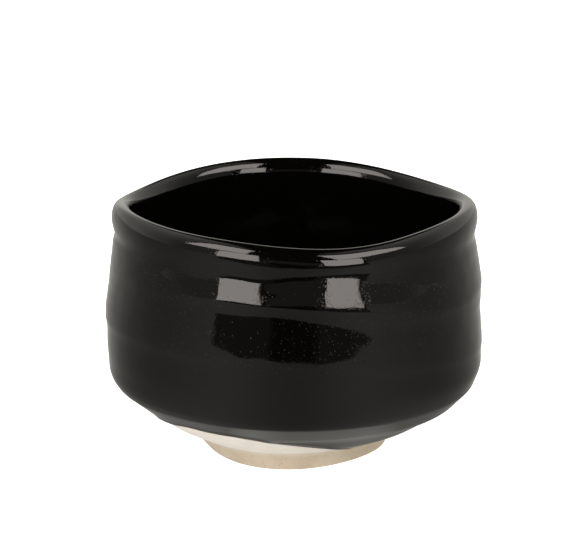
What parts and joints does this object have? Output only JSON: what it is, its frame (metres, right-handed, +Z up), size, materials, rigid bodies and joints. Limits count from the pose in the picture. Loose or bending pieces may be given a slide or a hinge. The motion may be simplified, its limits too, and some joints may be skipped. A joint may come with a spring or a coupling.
{
  "type": "matcha bowl",
  "caption": "Deep round tea bowl with a softly waved lip, slanting throwing rings, black glaze in and out, and a bare clay foot ring",
  "frame": {"origin": "on the table, in the middle of the bowl: the centre of the box in X and Y, and its bottom in Z", "axes": "+Z up out of the mouth, -Y towards the front, where the bare clay of the dip line shows, +X to the right seen from the front"},
  "size_m": [0.12, 0.12, 0.0806],
  "materials": {
    "body_clay": "matte",
    "foot_clay": "matte",
    "outer_glaze": "gloss",
    "inner_glaze": "gloss"
  },
  "bodies": {
    "root": {"clay_body": "body_clay", "foot_ring": "foot_clay", "outer_glaze": "outer_glaze", "inner_glaze": "inner_glaze"}
  },
  "joints": []
}
